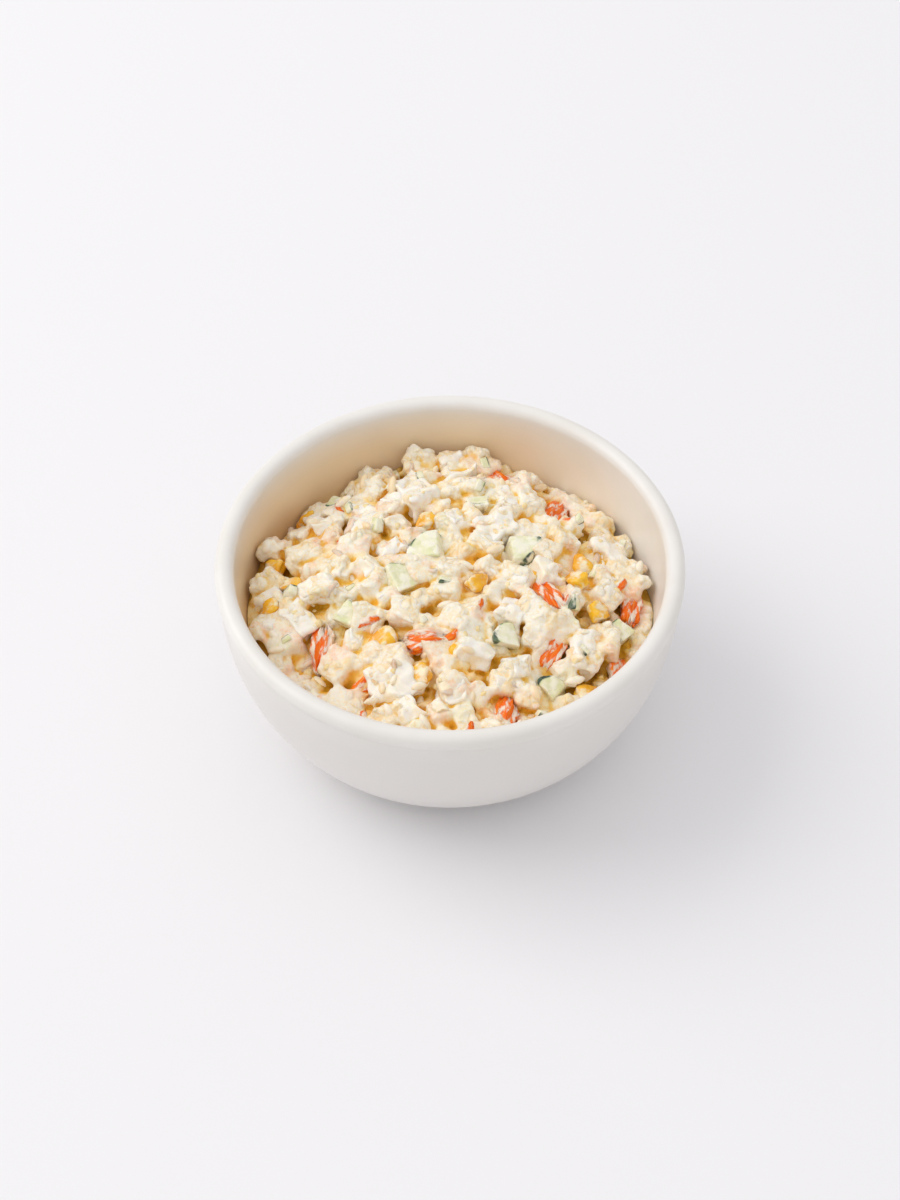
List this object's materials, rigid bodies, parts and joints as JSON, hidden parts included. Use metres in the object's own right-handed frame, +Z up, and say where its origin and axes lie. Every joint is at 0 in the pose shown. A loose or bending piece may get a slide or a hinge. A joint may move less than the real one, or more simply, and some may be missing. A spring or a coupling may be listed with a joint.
{
  "type": "crab salad in a bowl",
  "caption": "Mayonnaise salad of crab stick, rice, egg, sweetcorn and cucumber, heaped in a round cream glazed bowl with a rolled lip.",
  "frame": {"origin": "centre of the underside of the foot ring, on the bowl's axis", "axes": "+Z up along the bowl's axis; the front of the salad, as the picture shows it, faces -Y"},
  "size_m": [0.16, 0.16, 0.0729],
  "materials": {
    "bowl_glaze": "cream stoneware glaze, smooth, with a soft satin shine",
    "salad": "diced food coated in mayonnaise, moist"
  },
  "bodies": {
    "root": {"bowl": "bowl_glaze", "salad": "salad"}
  },
  "joints": []
}
